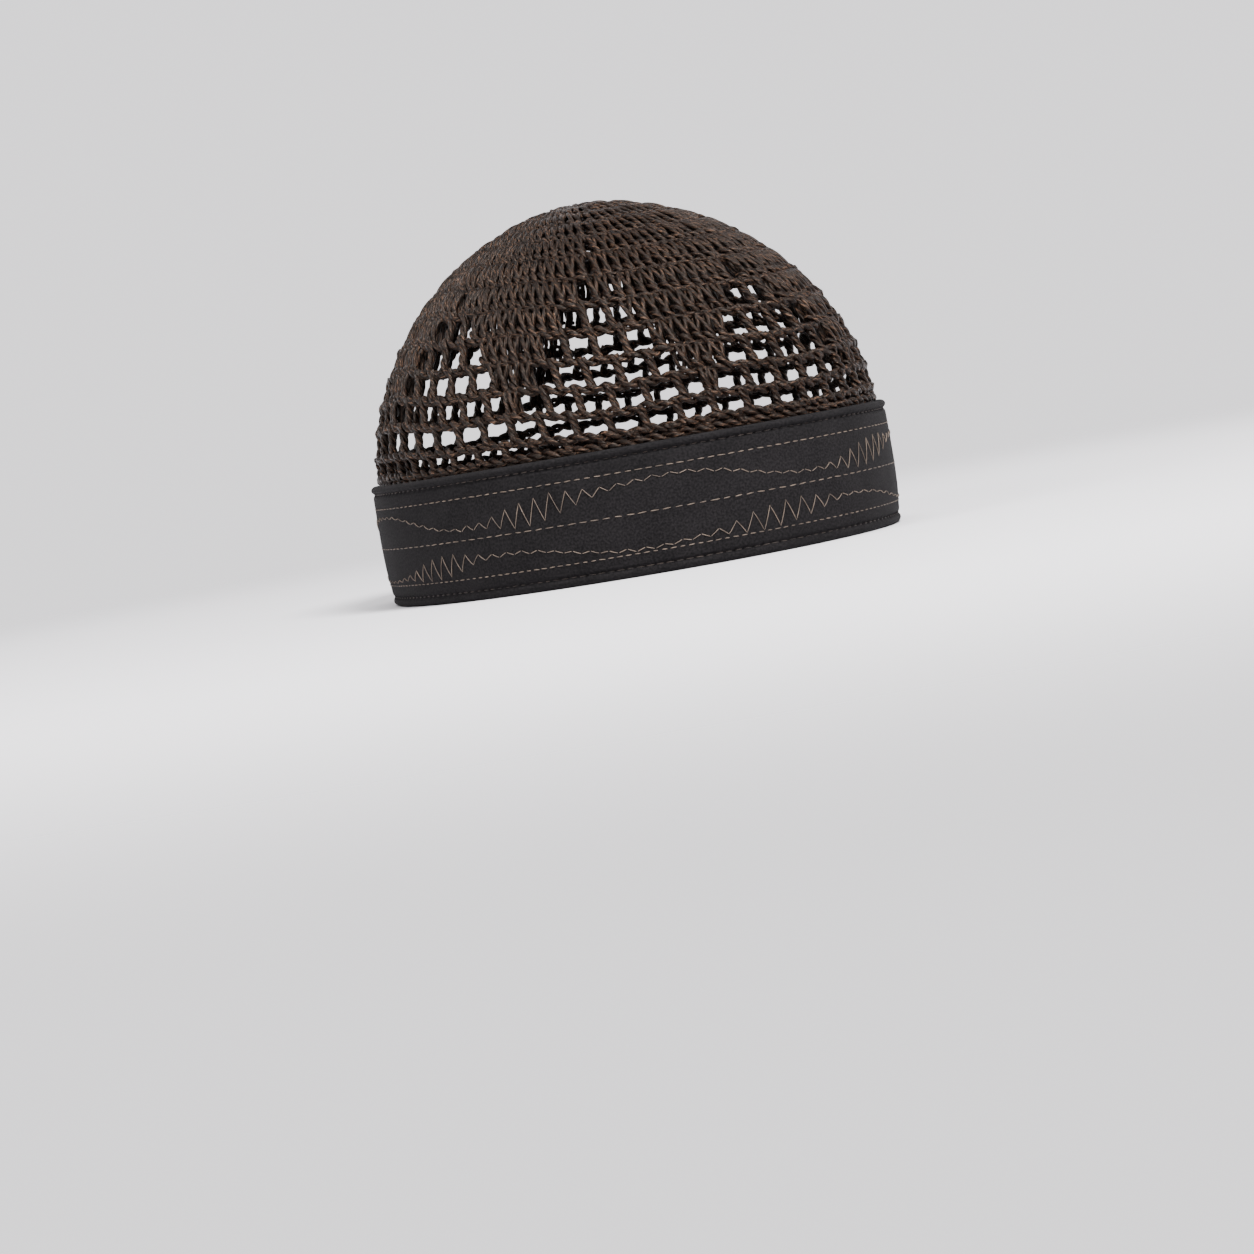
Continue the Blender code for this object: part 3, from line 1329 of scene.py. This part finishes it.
@dataclass
class Band:
    """The folded cloth band with its rolled edges and its sewing.

    Attributes:
        oval: the oval that its widest face follows.
        height: its height.
        cloth, thread, dark_thread: its finishes.
        wall: thickness of the folded cloth.
        tuck: how far the foot lies inside the oval.
        tuck_heights, tuck_shares: the face, as shares of the height and of the tuck.
        edge_round, edge_points: rounding of its edges, and points on a quarter of it.
        edge_relief: share of the face's relief that is left at an edge.
        roll: how far the rolled edges bulge.
        seam_half, seam_pinch: width of a drawn-in seam, and how unevenly it is drawn.
        back_draw, back_half: depth and width of the join at the back.
        back_step, back_fade: step of the cloth there, and the way over which it fades.
        ripple: size of the slow ripples.
        hem_top, face_top: heights between which the face is coarser.
        steps, seam_steps: points round the cloth and round a seam.
        seam_span: way up the last strip of the cloth's UV map.
        swing_period: way round for one swing of the zigzags.
        rising: share of the swing in which a zigzag rises.
        swell_span, least_swell: share of the swing that is wide, and width elsewhere.
        hole_shake: unevenness of the zigzags' points.
        knots: points along each leg of a zigzag.
        leg_fullness, leg_lift: form and height of a leg over the cloth.
        dive, small_dive: depth of the needle holes, and how much deeper where legs are short.
        zigzag_gap: way that is left free on each side of the join.
        zigzag_thickness, zigzag_sides: thickness of the zigzags' thread, and sides of its section.
        stitch_lift: share of its thickness that a stitch lies over the cloth.
        stitch_unevenness: unevenness of the stitches' length.
        seed: seed of ripples and unevenness.
    """

    oval: Oval
    height: float
    cloth: ClothFinish
    thread: ThreadFinish
    dark_thread: ThreadFinish
    wall: float = 2.1 * MM
    tuck: float = 1.6 * MM
    tuck_heights: tuple[float, ...] = (0.0, 0.13, 0.30, 0.50, 0.80, 1.0)
    tuck_shares: tuple[float, ...] = (1.0, 0.55, 0.15, 0.0, 0.05, 0.20)
    edge_round: float = 0.95 * MM
    edge_points: int = 5
    edge_relief: float = 0.3
    roll: float = 0.45 * MM
    seam_half: float = 0.62 * MM
    seam_pinch: float = 0.35
    back_draw: float = 0.55 * MM
    back_half: float = 1.1 * MM
    back_step: float = 0.35 * MM
    back_fade: float = 9.0 * MM
    ripple: float = 0.08 * MM
    hem_top: float = 5.2 * MM
    face_top: float = 32.0 * MM
    steps: int = 720
    seam_span: float = 0.5 * MM
    seam_steps: int = 480
    swing_period: float = 126.3 * MM
    rising: float = 0.62
    swell_span: float = 0.135
    least_swell: float = 0.13
    hole_shake: float = 0.12 * MM
    knots: int = 5
    leg_fullness: float = 0.6
    leg_lift: float = 0.20 * MM
    dive: float = 0.06 * MM
    small_dive: float = 0.30 * MM
    zigzag_gap: float = 0.8 * MM
    zigzag_thickness: float = 0.27 * MM
    zigzag_sides: int = 6
    stitch_lift: float = 0.30
    stitch_unevenness: float = 0.18
    seed: int = 4

    def __post_init__(self) -> None:
        """Draws the slow ripples of the cloth."""
        self.random = np.random.default_rng(self.seed)
        waves = np.arange(3, 15)
        self.waves = [(wave, self.random.random() * TAU, 1.0 / math.sqrt(wave)) for wave in waves]

    def inset(self, height: np.ndarray) -> np.ndarray:
        """How far the plain outer face lies inside the oval, at a height."""
        return self.tuck * np.interp(height / self.height, self.tuck_heights, self.tuck_shares)

    def relief(self, way: np.ndarray, height: np.ndarray) -> np.ndarray:
        """Out of the plain face: rolled edges, drawn-in seams, the join at the back and slow ripples.

        Args:
            way: metres round from the front.
            height: metres up from the rim.

        Returns:
            Metres outwards.
        """
        out = np.zeros_like(height)
        for row in SEAM_ROWS:
            near = np.exp(-((height - row.height) / self.seam_half) ** 2)
            pinch = 1.0 + self.seam_pinch * np.cos(way / row.pitch * TAU)
            out -= row.draw * near * pinch
        top = SEAM_ROWS[0].height
        hem = SEAM_ROWS[-1].height
        for low, high in ((top, self.height), (0.0, hem)):
            share = np.clip((height - low) / (high - low), 0.0, 1.0)
            out += self.roll * np.sin(share * math.pi)
        back = (way / self.oval.length % 1.0 - 0.5) * self.oval.length
        out -= self.back_draw * np.exp(-((back / self.back_half) ** 2))
        out += self.back_step * np.clip(1.0 - back / self.back_fade, 0.0, 1.0) * (back > 0.0)
        turn = way / self.oval.length * TAU
        slow = sum(size * np.sin(wave * turn + start) for wave, start, size in self.waves)
        upper = np.sin(np.clip(height / self.height, 0.0, 1.0) * math.pi * 0.5)
        return out + self.ripple * slow * upper

    def place(self, way: np.ndarray, height: np.ndarray, out: np.ndarray) -> np.ndarray:
        """Points on or off the band's plain outer face.

        Args:
            way: metres round from the front.
            height: metres up from the rim.
            out: metres out of the face.

        Returns:
            An array of points, one for each entry.
        """
        turn = self.oval.angle(way / self.oval.length)
        across = np.sin(turn)
        ahead = -np.cos(turn)
        normal = np.stack([across * self.oval.half_length, ahead * self.oval.half_width], axis=-1)
        normal /= np.linalg.norm(normal, axis=-1, keepdims=True)
        flat = np.stack([across * self.oval.half_width, ahead * self.oval.half_length], axis=-1)
        flat = flat + normal * (out - self.inset(height))[..., None]
        return np.concatenate([flat, height[..., None]], axis=-1)

    def face_place(self, way: np.ndarray, height: np.ndarray, out: np.ndarray) -> np.ndarray:
        """Points off the band's real face, seams and rolls included."""
        return self.place(way, height, out + self.relief(way, height))

    def section(self) -> tuple[np.ndarray, np.ndarray, np.ndarray]:
        """Draws the closed section of the wall.

        Returns:
            Heights, metres inwards, and how much of the outer relief counts.
        """
        edge = self.edge_round
        rounds = np.linspace(0.0, math.pi / 2.0, self.edge_points)
        near = edge - edge * np.cos(rounds)
        far = edge - edge * np.sin(rounds)
        face = np.concatenate(
            [
                np.linspace(edge, self.hem_top, 13)[1:],
                np.linspace(self.hem_top, self.face_top, 18)[1:],
                np.linspace(self.face_top, self.height - edge, 20)[1:-1],
            ]
        )
        inner = np.linspace(self.height - edge, edge, 9)[1:-1]
        heights = np.concatenate([near, face, self.height - far, self.height - near, inner, far])
        flat = np.zeros_like(face)
        back = np.full_like(inner, self.wall)
        depths = np.concatenate([far, flat, near, self.wall - far, back, self.wall - near])
        grow = np.linspace(self.edge_relief, 1.0, self.edge_points)
        outer = np.concatenate([grow, np.ones_like(face), grow[::-1]])
        shares = np.concatenate([outer, np.zeros(len(heights) - len(outer))])
        return heights, depths, shares

    def cloth_piece(self) -> bpy.types.Object:
        """Makes the folded cloth as one closed wall with its UV map.

        Returns:
            The piece.
        """
        heights, depths, shares = self.section()
        rings = len(heights)
        way = np.arange(self.steps) / self.steps * self.oval.length
        grid_way, grid_height = np.meshgrid(way, heights, indexing="ij")
        out = self.relief(grid_way, grid_height) * shares[None] - depths[None]
        points = self.place(grid_way, grid_height, out)
        points[..., 2] = np.maximum(points[..., 2], 0.0)
        column = np.arange(self.steps)[:, None] * rings
        following = (np.arange(self.steps)[:, None] + 1) % self.steps * rings
        ring = np.arange(rings)[None]
        above = (ring + 1) % rings
        faces = np.stack([column + ring, following + ring, following + above, column + above], axis=-1)
        mesh = bpy.data.meshes.new("band_cloth")
        mesh.from_pydata(points.reshape(-1, 3), [], faces.reshape(-1, 4))
        span = np.concatenate([[0.0], np.cumsum(np.hypot(np.diff(heights), np.diff(depths)))])
        width = self.oval.length / self.steps
        left = np.broadcast_to(way[:, None], (self.steps, rings))
        low = np.broadcast_to(span[None], (self.steps, rings))
        seam_end = span[-1] + self.seam_span
        high = np.broadcast_to(np.append(span[1:], seam_end)[None], (self.steps, rings))
        corners = np.stack(
            [
                np.stack([left, low], -1),
                np.stack([left + width, low], -1),
                np.stack([left + width, high], -1),
                np.stack([left, high], -1),
            ],
            axis=2,
        )
        layer = mesh.uv_layers.new(name="cloth")
        layer.data.foreach_set("uv", corners.reshape(-1).astype(np.float32))
        mesh.shade_smooth()
        mesh.materials.append(self.cloth.material())
        piece = bpy.data.objects.new("band_cloth", mesh)
        bpy.context.scene.collection.objects.link(piece)
        return piece

    def seam_line(self, row: SeamRow) -> bpy.types.Mesh:
        """Draws the closed line that a row of stitches follows.

        Args:
            row: the row's sizes.

        Returns:
            A mesh of edges.
        """
        way = np.arange(self.seam_steps) / self.seam_steps * self.oval.length
        height = np.full_like(way, row.height)
        lift = np.full_like(way, self.stitch_lift * row.thickness)
        strands = Strands.empty()
        strands.add(self.face_place(way, height, lift)[None], np.array([0.5]), closed=True)
        return strands.mesh(row.name)

    def zigzag_line(self, row: ZigzagRow) -> np.ndarray:
        """Points of a swelling zigzag, from one side of the back seam round to the other.

        Args:
            row: the zigzag's sizes.

        Returns:
            The points of its thread.
        """
        seam = self.oval.length / 2.0 - self.zigzag_gap
        holes = np.arange(-seam, seam, row.pitch / 2.0)
        share = ((holes - row.low_place) / self.swing_period) % 1.0
        climb = share / self.rising * 0.5
        fall = 0.5 + (share - self.rising) / (1.0 - self.rising) * 0.5
        swing = np.where(share < self.rising, climb, fall)
        middle = (row.low + row.high) / 2.0 - (row.high - row.low) / 2.0 * np.cos(swing * TAU)
        spread = np.exp(-((share - row.swell_at) / self.swell_span) ** 2) + self.least_swell
        spread = np.minimum(spread, 1.0)
        side = np.where(np.arange(len(holes)) % 2 == 0, 1.0, -1.0)
        jitter = self.random.normal(0.0, self.hole_shake, len(holes))
        heights = middle + side * row.width * spread + jitter
        places = np.arange(len(holes))
        steps = np.linspace(0.0, len(holes) - 1.0, (len(holes) - 1) * self.knots + 1)
        way = np.interp(steps, places, holes)
        height = np.interp(steps, places, heights)
        hump = np.abs(np.sin(steps * math.pi)) ** self.leg_fullness
        small = 1.0 - np.interp(steps, places, spread)
        dive = (self.dive + self.small_dive * small ** 3) * (1.0 - hump)
        return self.face_place(way, height, self.leg_lift * hump - dive)

    def build(
        self, strand_tree: StrandTree, dash_tree: DashTree
    ) -> list[tuple[bpy.types.Object, Slot]]:
        """Makes the cloth and all its sewing.

        Args:
            strand_tree: the tree for threads that run on.
            dash_tree: the tree for rows of short stitches.

        Returns:
            Each piece with its slot.
        """
        pieces = [(self.cloth_piece(), Slot.CLOTH)]
        threads = {Slot.THREAD: self.thread.material(), Slot.EDGE_THREAD: self.dark_thread.material()}
        for row in SEAM_ROWS:
            values = {
                "Pitch": row.pitch,
                "Length": row.length,
                "Thickness": row.thickness,
                "Unevenness": self.stitch_unevenness,
                "Seed": row.seed,
                "Material": threads[row.slot],
            }
            pieces.append((grown(row.name, self.seam_line(row), dash_tree, values), row.slot))
        values = {
            "Thickness": self.zigzag_thickness,
            "Sides": self.zigzag_sides,
            "Material": threads[Slot.THREAD],
        }
        for zigzag in ZIGZAG_ROWS:
            strands = Strands.empty()
            strands.add(self.zigzag_line(zigzag)[None], np.array([0.5]))
            piece = grown(zigzag.name, strands.mesh(zigzag.name), strand_tree, values)
            pieces.append((piece, Slot.THREAD))
        return pieces


# The studio


@dataclass(frozen=True)
class Lamp:
    """A soft round light that faces the cap.

    Attributes:
        name: the light's name.
        turn: degrees round from the camera, positive to its right.
        rise: degrees above the floor.
        away: distance from the cap.
        size: width of the light.
        power: its power in watts.
    """

    name: str
    turn: float
    rise: float
    away: float
    size: float
    power: float


LAMPS = (
    # name, turn, rise, away, size, power
    Lamp("key", 32.0, 50.0, 1.5, 0.5, 58.0),
    Lamp("fill", -52.0, 34.0, 1.6, 0.7, 14.0),
    Lamp("top", 0.0, 84.0, 1.4, 0.8, 16.0),
)


@dataclass
class Studio:
    """Pale floor, soft light and the camera at the photograph's view.

    Attributes:
        cap_height: height of the cap, whose middle the lights face.
        camera_distance, camera_height, camera_turn, camera_roll: where the camera stands.
        aim_left, aim_below: where it looks, from the middle of the rim.
        lens, sensor, near: its lens and sensor in millimetres, and its nearest distance.
        floor_radius, floor_sides: size and corners of the floor.
        floor_solid, floor_fade: distances at which the floor starts to fade and is gone.
        glow, glow_drop: strength of the surroundings, and the share lost overhead.
        glow_low, glow_high: heights in the sky between which that happens.
        pale: colour of floor and surroundings.
    """

    cap_height: float
    camera_distance: float = 1171.3 * MM
    camera_height: float = 53.3 * MM
    camera_turn: float = math.radians(-34.05)
    camera_roll: float = math.radians(9.9)
    aim_left: float = 10.1 * MM
    aim_below: float = 20.6 * MM
    lens: float = 98.3
    sensor: float = 36.0
    near: float = 0.02
    floor_radius: float = 1.6
    floor_sides: int = 96
    floor_roughness: float = 0.9
    floor_specular: float = 0.1
    floor_solid: float = 0.30
    floor_fade: float = 0.80
    glow: float = 2.1
    glow_low: float = 0.32
    glow_high: float = 0.62
    glow_drop: float = 0.78
    pale: Colour = shade(222, 220, 223)

    def view_turn(self) -> Matrix:
        """Turn from the camera's own frame, which looks along +Y, to the cap's."""
        return Matrix.Rotation(self.camera_turn, 3, "Z")

    def camera(self) -> None:
        """Places the camera and makes it the scene's own."""
        flat = math.sqrt(self.camera_distance ** 2 - self.camera_height ** 2)
        turn = self.view_turn()
        place = turn @ Vector((0.0, -flat, self.camera_height))
        aim = turn @ Vector((-self.aim_left, 0.0, -self.aim_below))
        look = (aim - place).normalized()
        right = look.cross(Vector((0.0, 0.0, 1.0))).normalized()
        up = right.cross(look)
        roll = Matrix.Rotation(self.camera_roll, 3, look)
        frame = Matrix((roll @ right, roll @ up, -look)).transposed()
        data = bpy.data.cameras.new("camera")
        data.lens = self.lens
        data.sensor_width = self.sensor
        data.clip_start = self.near
        camera = bpy.data.objects.new("camera", data)
        camera.matrix_world = Matrix.Translation(place) @ frame.to_4x4()
        bpy.context.scene.collection.objects.link(camera)
        bpy.context.scene.camera = camera

    def floor(self) -> bpy.types.Object:
        """Makes a pale floor that melts into the surroundings away from the cap.

        Returns:
            The floor.
        """
        bpy.ops.mesh.primitive_circle_add(
            vertices=self.floor_sides, radius=self.floor_radius, fill_type="NGON"
        )
        floor = bpy.context.active_object
        floor.name = "floor"
        material, tree, shader = new_material("floor_paper")
        shader.inputs["Base Color"].default_value = self.pale
        shader.inputs["Roughness"].default_value = self.floor_roughness
        shader.inputs["Specular IOR Level"].default_value = self.floor_specular
        coords = tree.add("ShaderNodeTexCoord", {}, {}, "Object")
        away = tree.add("ShaderNodeVectorMath", {"operation": "LENGTH"}, {0: coords}, "Value")
        faded = ((away - self.floor_solid) / (self.floor_fade - self.floor_solid)).limited()
        soft = faded * faded * (3.0 - faded * 2.0)
        clear = tree.add("ShaderNodeBsdfTransparent", {}, {})
        mixed = tree.add("ShaderNodeMixShader", {}, {0: soft, 1: shader.outputs["BSDF"], 2: clear})
        output = material.node_tree.nodes["Material Output"]
        tree.tree.links.new(mixed.socket, output.inputs["Surface"])
        floor.data.materials.append(material)
        return floor

    def light(self, lamp: Lamp) -> None:
        """Adds one soft light that faces the cap.

        Args:
            lamp: its place, size and power.
        """
        data = bpy.data.lights.new(lamp.name, "AREA")
        data.shape = "DISK"
        data.size = lamp.size
        data.energy = lamp.power
        holder = bpy.data.objects.new(lamp.name, data)
        angle = math.radians(lamp.turn)
        lift = math.radians(lamp.rise)
        flat = math.cos(lift)
        way = Vector((math.sin(angle) * flat, -math.cos(angle) * flat, math.sin(lift)))
        middle = Vector((0.0, 0.0, self.cap_height * 0.5))
        holder.location = self.view_turn() @ (way * lamp.away) + middle
        holder.rotation_euler = (middle - holder.location).to_track_quat("-Z", "Y").to_euler()
        bpy.context.scene.collection.objects.link(holder)

    def surroundings(self) -> None:
        """Pale light from all round, weaker overhead so that the lamps give the cap its form."""
        world = bpy.data.worlds.new("studio")
        bpy.context.scene.world = world
        world.use_nodes = True
        back = world.node_tree.nodes["Background"]
        tree = Tree(world.node_tree)
        coords = tree.add("ShaderNodeTexCoord", {}, {}, "Generated")
        rise = Field(tree, tree.node("ShaderNodeSeparateXYZ", {}, {0: coords}).outputs[2])
        overhead = ((rise - self.glow_low) / (self.glow_high - self.glow_low)).limited()
        strength = self.glow * (1.0 - overhead * self.glow_drop)
        tree.tree.links.new(strength.socket, back.inputs["Strength"])
        back.inputs["Color"].default_value = self.pale

    def build(self) -> None:
        """Sets up the whole studio."""
        self.surroundings()
        self.floor()
        for lamp in LAMPS:
            self.light(lamp)
        self.camera()


# The whole cap


@dataclass
class PrayerCap:
    """The cap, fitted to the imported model.

    Attributes:
        band_corner: the highest corner of the band's box.
        crown_corner: the highest corner of the crown's box.
        yarn_half: from the crown's outside to the middle of its yarn work.
    """

    band_corner: Vector
    crown_corner: Vector
    yarn_half: float = 1.72 * MM

    def build(self) -> None:
        """Builds the crown and the band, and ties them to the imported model."""
        strand_tree = StrandTree()
        dash_tree = DashTree()
        oval = Oval(self.band_corner.x, self.band_corner.y)
        dome = Dome(
            oval,
            self.crown_corner.x - self.yarn_half,
            self.crown_corner.y - self.yarn_half,
            self.band_corner.z,
            self.crown_corner.z - self.yarn_half,
        )
        crown = Crown(dome, YARN)
        for piece in crown.build(strand_tree):
            self.tie(piece, "crown")
        band = Band(oval, self.band_corner.z, CLOTH, THREAD, DARK_THREAD)
        for piece, slot in band.build(strand_tree, dash_tree):
            self.tie(piece, "band")

    def tie(self, piece: bpy.types.Object, node: str) -> None:
        """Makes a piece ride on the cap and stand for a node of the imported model.

        Args:
            piece: the finished piece.
            node: the node that it stands for.
        """
        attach(piece, "root")
        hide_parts(node)
        piece.data.calc_loop_triangles()
        LOG.info("%s: %d triangles", piece.name, len(piece.data.loop_triangles))


# crown yarn: painted shade between the plies, the yarn's own brown, and a painted highlight
YARN = YarnFinish("crown_yarn", shade(1, 0, 0), shade(18, 11, 8), shade(140, 106, 84))
CLOTH = ClothFinish("band_cloth", shade(8, 7, 8), shade(26, 24, 25))
THREAD = ThreadFinish("band_thread", shade(66, 57, 50), shade(116, 102, 90))
DARK_THREAD = ThreadFinish("edge_thread", shade(24, 19, 18), shade(62, 53, 47))


def main() -> None:
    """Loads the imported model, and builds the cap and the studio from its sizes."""
    logging.basicConfig(level=logging.INFO, format="%(name)s: %(message)s")
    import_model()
    band_corner = Vector(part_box("band")[1])
    crown_corner = Vector(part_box("crown")[1])
    PrayerCap(band_corner, crown_corner).build()
    Studio(crown_corner.z).build()
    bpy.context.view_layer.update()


if __name__ == "__main__":
    main()
